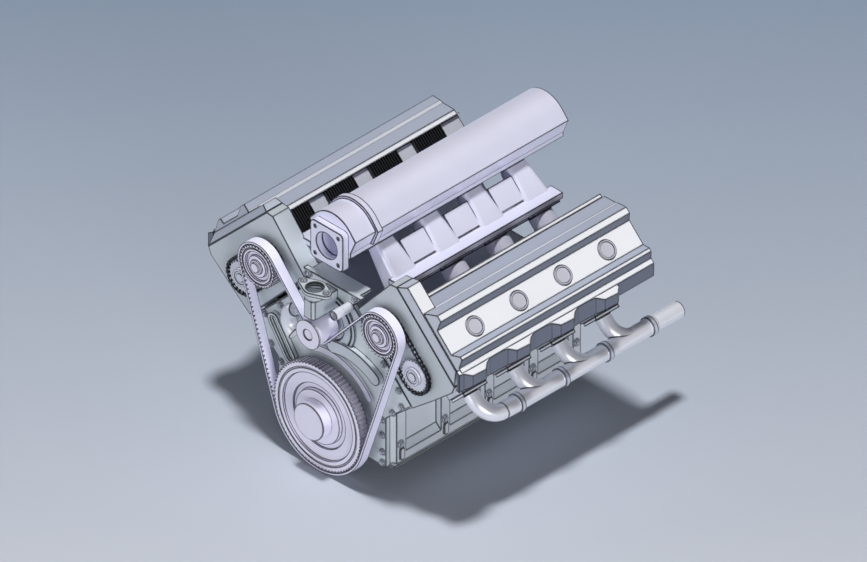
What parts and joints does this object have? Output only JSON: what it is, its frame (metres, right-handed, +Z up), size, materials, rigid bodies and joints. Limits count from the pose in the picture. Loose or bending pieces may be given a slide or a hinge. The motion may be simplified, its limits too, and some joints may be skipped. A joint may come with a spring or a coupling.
{
  "type": "v8 engine",
  "caption": "V-type petrol engine with belt-driven overhead camshafts, top plenum intake, log exhaust manifolds and a turning crank train.",
  "frame": {"origin": "on the crank axis at the front face of the timing wheel", "axes": "+Z up, Y along the crankshaft with the timing drive at -Y and the flywheel end at +Y, +X to the engine's left seen from the front of the drive"},
  "size_m": [0.583, 0.585, 0.5002],
  "materials": {
    "block": "cast",
    "head": "cast, machined faces",
    "cover": "satin pale lavender",
    "case": "cast",
    "plate": "machined",
    "pulley": "machined",
    "belt": "matt, toothed inside",
    "chain": "blackened",
    "panel": "fine ribs",
    "intake": "cast, satin",
    "pipe": "drawn tube",
    "clamp": "rolled",
    "steel": "machined",
    "piston": "machined",
    "bolt": "turned"
  },
  "bodies": {
    "engine": {"belt_guide_left": "plate", "belt_guide_right": "steel", "bottom_plate": "plate", "cam_chain_left": "chain", "cam_chain_right": "chain", "cam_cover_left": "cover", "cam_cover_right": "cover", "coolant_elbow": "pipe", "coolant_stub": "pipe", "cylinder_head_left": "head", "cylinder_head_right": "head", "engine_block": "block", "exhaust_clamps_left": "clamp", "exhaust_clamps_right": "clamp", "exhaust_manifold_left": "pipe", "exhaust_manifold_right": "pipe", "front_case_left": "case", "front_case_right": "case", "front_cover": "plate", "front_cover_bolts": "bolt", "intake_plenum": "intake", "intake_rail_left": "intake", "intake_rail_right": "intake", "intake_runners_left": "intake", "intake_runners_right": "intake", "main_bearing_caps": "steel", "main_cross_bolts": "bolt", "plug_well_caps_left": "steel", "plug_well_caps_right": "steel", "port_panels_left": "panel", "port_panels_right": "panel", "rear_seal_housing": "case", "tensioner_arm": "case", "thermostat_housing": "case", "throttle_flange": "intake", "timing_belt": "belt", "water_pump_housing": "case"},
    "crank": {"crankshaft": "steel", "timing_wheel": "pulley", "crank_nose_hub": "pulley"},
    "idler": {"water_pump_drum": "pulley"},
    "throttle": {"throttle_plate": "steel"},
    "intake_cam_right": {"intake_camshaft_right": "steel", "cam_pulley_right": "pulley", "intake_chain_sprocket_right": "steel"},
    "exhaust_cam_right": {"exhaust_camshaft_right": "steel", "exhaust_chain_sprocket_right": "steel"},
    "piston_right_1": {"piston_right_1": "piston"},
    "piston_right_2": {"piston_right_2": "piston"},
    "piston_right_3": {"piston_right_3": "piston"},
    "piston_right_4": {"piston_right_4": "piston"},
    "intake_cam_left": {"intake_camshaft_left": "steel", "cam_pulley_left": "pulley", "intake_chain_sprocket_left": "steel"},
    "exhaust_cam_left": {"exhaust_camshaft_left": "steel", "exhaust_chain_sprocket_left": "steel"},
    "piston_left_1": {"piston_left_1": "piston"},
    "piston_left_2": {"piston_left_2": "piston"},
    "piston_left_3": {"piston_left_3": "piston"},
    "piston_left_4": {"piston_left_4": "piston"}
  },
  "joints": [
    {"name": "crank_spin", "type": "hinge", "parent": "engine", "child": "crank", "pos_m": [0, 0, 0], "axis": [0, 1, 0], "continuous": true},
    {"name": "intake_cam_right_spin", "type": "hinge", "parent": "engine", "child": "intake_cam_right", "pos_m": [0.14001, 0, 0.23052], "axis": [0, 1, 0], "continuous": true},
    {"name": "exhaust_cam_right_spin", "type": "hinge", "parent": "engine", "child": "exhaust_cam_right", "pos_m": [0.1987, 0, 0.169], "axis": [0, 1, 0], "continuous": true},
    {"name": "intake_cam_left_spin", "type": "hinge", "parent": "engine", "child": "intake_cam_left", "pos_m": [-0.14001, 0, 0.23052], "axis": [0, 1, 0], "continuous": true},
    {"name": "exhaust_cam_left_spin", "type": "hinge", "parent": "engine", "child": "exhaust_cam_left", "pos_m": [-0.1987, 0, 0.169], "axis": [0, 1, 0], "continuous": true},
    {"name": "idler_spin", "type": "hinge", "parent": "engine", "child": "idler", "pos_m": [0, 0, 0.1755], "axis": [0, 1, 0], "continuous": true},
    {"name": "piston_right_1_slide", "type": "slide", "parent": "engine", "child": "piston_right_1", "axis": [0.7071, 0, 0.7071], "range_m": [-0.06, 0]},
    {"name": "piston_right_2_slide", "type": "slide", "parent": "engine", "child": "piston_right_2", "axis": [0.7071, 0, 0.7071], "range_m": [-0.02649, 0.03351]},
    {"name": "piston_right_3_slide", "type": "slide", "parent": "engine", "child": "piston_right_3", "axis": [0.7071, 0, 0.7071], "range_m": [-0.02649, 0.03351]},
    {"name": "piston_right_4_slide", "type": "slide", "parent": "engine", "child": "piston_right_4", "axis": [0.7071, 0, 0.7071], "range_m": [0, 0.06]},
    {"name": "piston_left_1_slide", "type": "slide", "parent": "engine", "child": "piston_left_1", "axis": [-0.7071, 0, 0.7071], "range_m": [-0.02649, 0.03351]},
    {"name": "piston_left_2_slide", "type": "slide", "parent": "engine", "child": "piston_left_2", "axis": [-0.7071, 0, 0.7071], "range_m": [-0.06, 0]},
    {"name": "piston_left_3_slide", "type": "slide", "parent": "engine", "child": "piston_left_3", "axis": [-0.7071, 0, 0.7071], "range_m": [0, 0.06]},
    {"name": "piston_left_4_slide", "type": "slide", "parent": "engine", "child": "piston_left_4", "axis": [-0.7071, 0, 0.7071], "range_m": [-0.02649, 0.03351]},
    {"name": "throttle_turn", "type": "hinge", "parent": "engine", "child": "throttle", "pos_m": [0, 0.062, 0.332], "axis": [1, 0, 0], "range_deg": [0, 85]}
  ],
  "couplings": [
    {"joint": "intake_cam_right_spin", "follows": "crank_spin", "ratio": 2.5},
    {"joint": "exhaust_cam_right_spin", "follows": "crank_spin", "ratio": 2.5},
    {"joint": "intake_cam_left_spin", "follows": "crank_spin", "ratio": 2.5},
    {"joint": "exhaust_cam_left_spin", "follows": "crank_spin", "ratio": 2.5},
    {"joint": "idler_spin", "follows": "crank_spin", "ratio": -4.2145}
  ]
}
